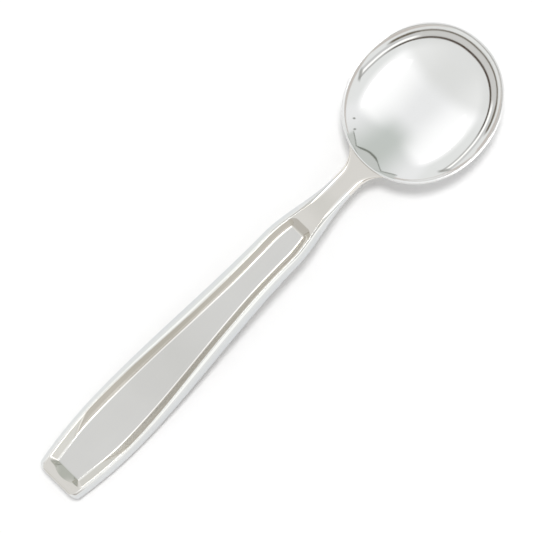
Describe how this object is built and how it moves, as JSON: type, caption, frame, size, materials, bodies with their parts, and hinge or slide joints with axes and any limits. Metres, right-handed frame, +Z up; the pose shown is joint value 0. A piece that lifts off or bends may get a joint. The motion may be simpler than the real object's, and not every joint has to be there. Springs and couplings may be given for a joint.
{
  "type": "soup spoon",
  "caption": "Soup spoon with a round dished bowl, a slim neck and a wide hollow handle with a sunk panel inside a ridged border.",
  "frame": {"origin": "on the table under the middle of the length, at the bottom centre of the spoon's box as it lies at rest", "axes": "+X along the length from the end of the handle to the tip of the bowl, +Z up out of the bowl"},
  "size_m": [0.175, 0.0434, 0.013],
  "materials": {
    "bowl_metal": "mirror polished silver",
    "stem_metal": "mirror polished silver",
    "handle_metal": "polished silver, finely hazed in the panel",
    "filler": "dull set handle cement"
  },
  "bodies": {
    "root": {"bowl": "bowl_metal", "stem": "stem_metal", "handle_front": "handle_metal", "handle_back": "handle_metal", "handle_filler": "filler"}
  },
  "joints": []
}
